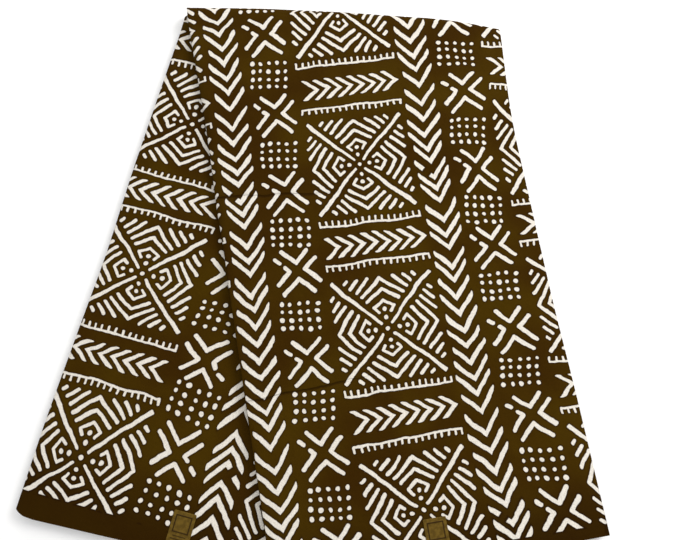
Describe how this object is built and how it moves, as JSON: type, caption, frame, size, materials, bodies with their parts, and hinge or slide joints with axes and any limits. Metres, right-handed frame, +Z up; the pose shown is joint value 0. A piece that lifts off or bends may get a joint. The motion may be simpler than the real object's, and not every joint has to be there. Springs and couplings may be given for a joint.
{
  "type": "folded ankara fabric",
  "caption": "Long printed cotton cloth laid back and forth in panels and turned over at a slant, so its two legs fan out flat, with a small plain sticker near each end.",
  "frame": {"origin": "middle of the bounding box in plan, on the surface that the cloth lies on", "axes": "+Z up from the surface, +Y toward the turned-over top, -Y toward the ends of the two legs, +X toward the leg that lies on top"},
  "size_m": [0.5608, 0.6036, 0.0242],
  "materials": {
    "printed_cotton": "matt printed cotton, olive brown with off-white strokes and dots",
    "gold_foil": "satin gold foil sticker, plain, with an embossed frame"
  },
  "bodies": {
    "root": {"cloth": "printed_cotton", "left_label": "gold_foil", "right_label": "gold_foil"}
  },
  "joints": []
}
